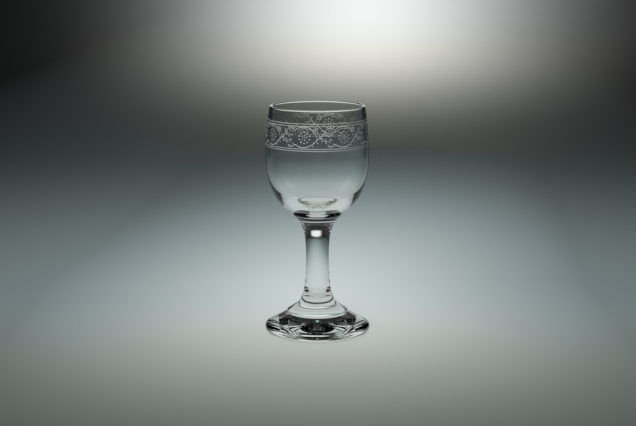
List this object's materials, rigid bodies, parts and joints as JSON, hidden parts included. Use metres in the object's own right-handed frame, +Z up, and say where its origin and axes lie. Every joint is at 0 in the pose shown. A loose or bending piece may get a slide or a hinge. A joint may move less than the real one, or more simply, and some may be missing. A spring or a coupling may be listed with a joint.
{
  "type": "cordial glass",
  "caption": "Small stemmed drinking glass with an etched band, a rounded bowl, a solid flared stem and a thick stepped foot, for cordials and liqueurs.",
  "frame": {"origin": "centre of the glass on the plane of the table that its foot stands on", "axes": "+Z up along the axis of the stem, X and Y across the glass; every piece is a revolve about Z"},
  "size_m": [0.0464, 0.0462, 0.1],
  "materials": {
    "clear_glass": "clear polished soda-lime glass",
    "etched_glass": "frosted needle-etched lines"
  },
  "bodies": {
    "root": {"bowl": "clear_glass", "stem": "clear_glass", "foot": "clear_glass"}
  },
  "joints": []
}
